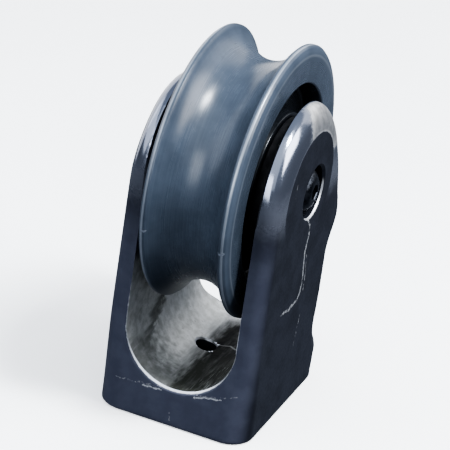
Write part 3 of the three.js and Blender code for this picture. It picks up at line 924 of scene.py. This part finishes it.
roller_profile = filleted([
    (0.0, -ROLLER_HALF_LENGTH, 0.0), (ROLLER_RADIUS, -ROLLER_HALF_LENGTH, 0.5),
    (ROLLER_RADIUS, ROLLER_HALF_LENGTH, 0.5), (0.0, ROLLER_HALF_LENGTH, 0.0),
])
for number in range(1, ROLLERS + 1):
    turn = (number - 1) / ROLLERS * 2.0 * math.pi
    centre = (0.0, -PITCH_RADIUS * math.sin(turn), AXLE_Z + PITCH_RADIUS * math.cos(turn))
    roller = turned(f"bearing_roller_{number:02d}", roller_profile, 48, centre)
    settle(roller, f"roller_{number:02d}", f"roller_{number:02d}", BEARING_STEEL)


def cage_field(x, y, z):
    """A brass sleeve with a rounded window for each roller."""
    z = z - AXLE_Z
    radius = np.hypot(y, z)
    solid = round_join(
        np.abs(radius - PITCH_RADIUS) - CAGE_HALF_WALL, np.abs(x) - CAGE_HALF_LENGTH, 0.4)
    step = 2.0 * math.pi / ROLLERS
    angle = (np.arctan2(-y, z) + step / 2.0) % step - step / 2.0
    window = round_join(
        np.abs(radius * np.sin(angle)) - WINDOW_HALF_WIDTH, np.abs(x) - WINDOW_HALF_LENGTH, 0.8)
    return np.maximum(solid, -window)


cage = contoured(
    "roller_cage", cage_field,
    (-11.0, -17.0, AXLE_Z - 17.0), (11.0, 17.0, AXLE_Z + 17.0), 0.45)
settle(cage, "cage", "bearing_cage", CAGE_BRASS)


def retaining_field(x, y, z):
    """An open spring ring with a hole for pliers near each end."""
    z = z - AXLE_Z
    radius = np.hypot(y, z)
    solid = round_join(
        np.abs(radius - RING_RADIUS) - RING_HALF_WALL, np.abs(x - RING_X) - RING_HALF_THICKNESS,
        0.2)
    gap = np.maximum(np.abs(y) - RING_HALF_GAP, z)
    solid = round_join(solid, -gap, 0.3)
    holes = np.hypot(np.abs(y) - PLIER_HOLE_Y, z - PLIER_HOLE_Z) - PLIER_HOLE_RADIUS
    return np.maximum(solid, -holes)


ring_right = contoured(
    "spring_ring_right", retaining_field,
    (10.4, -22.8, AXLE_Z - 22.8), (12.7, 22.8, AXLE_Z + 22.8), 0.35)


def bolt_field(x, y, z):
    """A button-head screw with a hexagon socket and a thread along its shank."""
    z = z - AXLE_Z
    radius = np.hypot(y, z)
    dome = np.hypot(radius, x - DOME_CENTRE_X) - DOME_RADIUS
    head = round_join(round_join(dome, x - HEAD_TOP_X, 0.5), radius - HEAD_RADIUS, 0.3)
    head = round_join(head, HEAD_SEAT_X - x, 0.2)
    flats = [y * math.cos(a) + z * math.sin(a) for a in np.radians((15.0, 75.0, 135.0))]
    hexagon = np.maximum.reduce([np.abs(flat) for flat in flats]) - SOCKET_HALF_FLATS
    sunk = (SOCKET_HALF_FLATS - radius).clip(0.0, SOCKET_HALF_FLATS)
    socket = np.maximum(hexagon, SOCKET_FLOOR_X - x - SOCKET_FLOOR_SLOPE * sunk)
    head = chamfer_join(head, -socket, 0.35)
    turn = np.arctan2(y, z) / (2.0 * math.pi)
    thread = THREAD_DEPTH * np.abs(((x / THREAD_PITCH + turn) % 1.0) - 0.5) * 2.0
    shank = np.maximum(
        radius - SHANK_RADIUS + thread, np.maximum(SHANK_LOW_X - x, x - SHANK_HIGH_X))
    return np.minimum(head, shank)


bolt_right = contoured(
    "button_screw_right", bolt_field, (8.1, -8.6, AXLE_Z - 8.6), (29.3, 8.6, AXLE_Z + 8.6), 0.28)
washer_right = turned("thrust_ring_right", ring_profile(8.3, 24.0, 14.5, 20.7, 0.5), 128)
for right, node, body, slot, material in (
    (ring_right, "retaining_ring", "sheave", "spring_steel", SPRING_STEEL),
    (bolt_right, "axle_bolt", "frame", "bolt_steel", BOLT_STEEL),
    (washer_right, "thrust_washer", "frame", "black_acetal", ACETAL),
):
    left = mirrored(right, right.name.replace("right", "left"))
    settle(right, body, f"{node}_right", material)
    settle(left, body, f"{node}_left", material)

# ---- Camera, lights and floor -------------------------------------------------------

CAMERA_AZIMUTH = math.radians(19.34)
CAMERA_ELEVATION = math.radians(24.31)
CAMERA_ROLL = math.radians(-8.54)
CAMERA_DISTANCE = 0.79746
CAMERA_TARGET = Vector((-0.00254, 0.0, 0.06492))
CAMERA_LENS = 177.9
CAMERA_SENSOR = 36.0
LIGHT_TARGET = Vector((0.0, 0.0, 0.09))
FLOOR_REACH = 2500.0


def place_camera():
    """A long lens, looking down from the front right, leaning a little to the right."""
    back = Vector((
        math.sin(CAMERA_AZIMUTH) * math.cos(CAMERA_ELEVATION),
        -math.cos(CAMERA_AZIMUTH) * math.cos(CAMERA_ELEVATION),
        math.sin(CAMERA_ELEVATION),
    ))
    right = Vector((math.cos(CAMERA_AZIMUTH), math.sin(CAMERA_AZIMUTH), 0.0))
    up = back.cross(right)
    leaned_right = right * math.cos(CAMERA_ROLL) - up * math.sin(CAMERA_ROLL)
    leaned_up = up * math.cos(CAMERA_ROLL) + right * math.sin(CAMERA_ROLL)
    turn = Matrix((leaned_right, leaned_up, back)).transposed().to_4x4()
    camera = bpy.data.objects.new("camera", bpy.data.cameras.new("camera"))
    bpy.context.scene.collection.objects.link(camera)
    camera.data.lens = CAMERA_LENS
    camera.data.sensor_width = CAMERA_SENSOR
    camera.data.clip_end = 10.0
    camera.matrix_world = Matrix.Translation(CAMERA_TARGET + back * CAMERA_DISTANCE) @ turn
    bpy.context.scene.camera = camera


def area_light(name, direction, distance, size, power, colour=(1.0, 1.0, 1.0)):
    """A soft panel that faces the sheave from a direction."""
    light = bpy.data.lights.new(name, "AREA")
    light.shape = "RECTANGLE"
    light.size, light.size_y = size
    light.energy = power
    light.color = colour
    direction = Vector(direction).normalized()
    holder = bpy.data.objects.new(name, light)
    holder.location = LIGHT_TARGET + direction * distance
    holder.rotation_mode = "QUATERNION"
    holder.rotation_quaternion = (-direction).to_track_quat("-Z", "Y")
    bpy.context.scene.collection.objects.link(holder)


place_camera()
bpy.context.scene.view_settings.look = "AgX - High Contrast"
area_light("key", (0.46, -0.09, 0.88), 1.0, (0.16, 0.24), 13.0, (0.93, 0.97, 1.0))
area_light("right_panel", (0.83, 0.08, 0.55), 1.1, (0.72, 0.62), 11.5)
area_light("front_panel", (-0.02, -0.95, 0.26), 1.2, (0.62, 0.62), 5.0, (0.92, 0.96, 1.0))
area_light("front_fill", (0.10, -0.65, 0.76), 1.6, (2.2, 2.2), 13.0, (0.93, 0.97, 1.0))
area_light("left_panel", (-0.82, -0.32, 0.48), 1.2, (1.60, 0.80), 7.0, (0.93, 0.96, 1.0))
area_light("back", (0.30, 0.80, 0.52), 1.3, (1.1, 0.8), 3.5, (1.0, 0.98, 0.95))
area_light("back_left", (-0.80, 0.57, 0.18), 1.4, (1.7, 1.2), 9.0)


def studio_world(low_colour, high_colour, strength):
    """A sky of one colour up to the horizon, which changes to another by overhead."""
    world = bpy.data.worlds.new("studio")
    bpy.context.scene.world = world
    world.use_nodes = True
    tree = world.node_tree
    direction = tree.nodes.new("ShaderNodeTexCoord").outputs["Generated"]
    split = tree.nodes.new("ShaderNodeSeparateXYZ")
    tree.links.new(direction, split.inputs[0])
    ramp = tree.nodes.new("ShaderNodeValToRGB")
    tree.links.new(split.outputs["Z"], ramp.inputs[0])
    for element, colour in zip(ramp.color_ramp.elements, (low_colour, high_colour)):
        element.color = (*colour, 1.0)
    tree.links.new(ramp.outputs[0], tree.nodes["Background"].inputs["Color"])
    tree.nodes["Background"].inputs["Strength"].default_value = strength


studio_world((0.22, 0.25, 0.31), (0.78, 0.90, 1.08), 0.7)

floor_corners = [
    (x * FLOOR_REACH, y * FLOOR_REACH, 0.0) for x, y in ((-1, -1), (1, -1), (1, 1), (-1, 1))]
floor = mesh_object("floor", floor_corners, [(0, 1, 2, 3)])
floor.data.materials.append(studio_floor())
# the floor is seen, but the block takes no light or reflection from it
floor.visible_glossy = False
floor.visible_diffuse = False
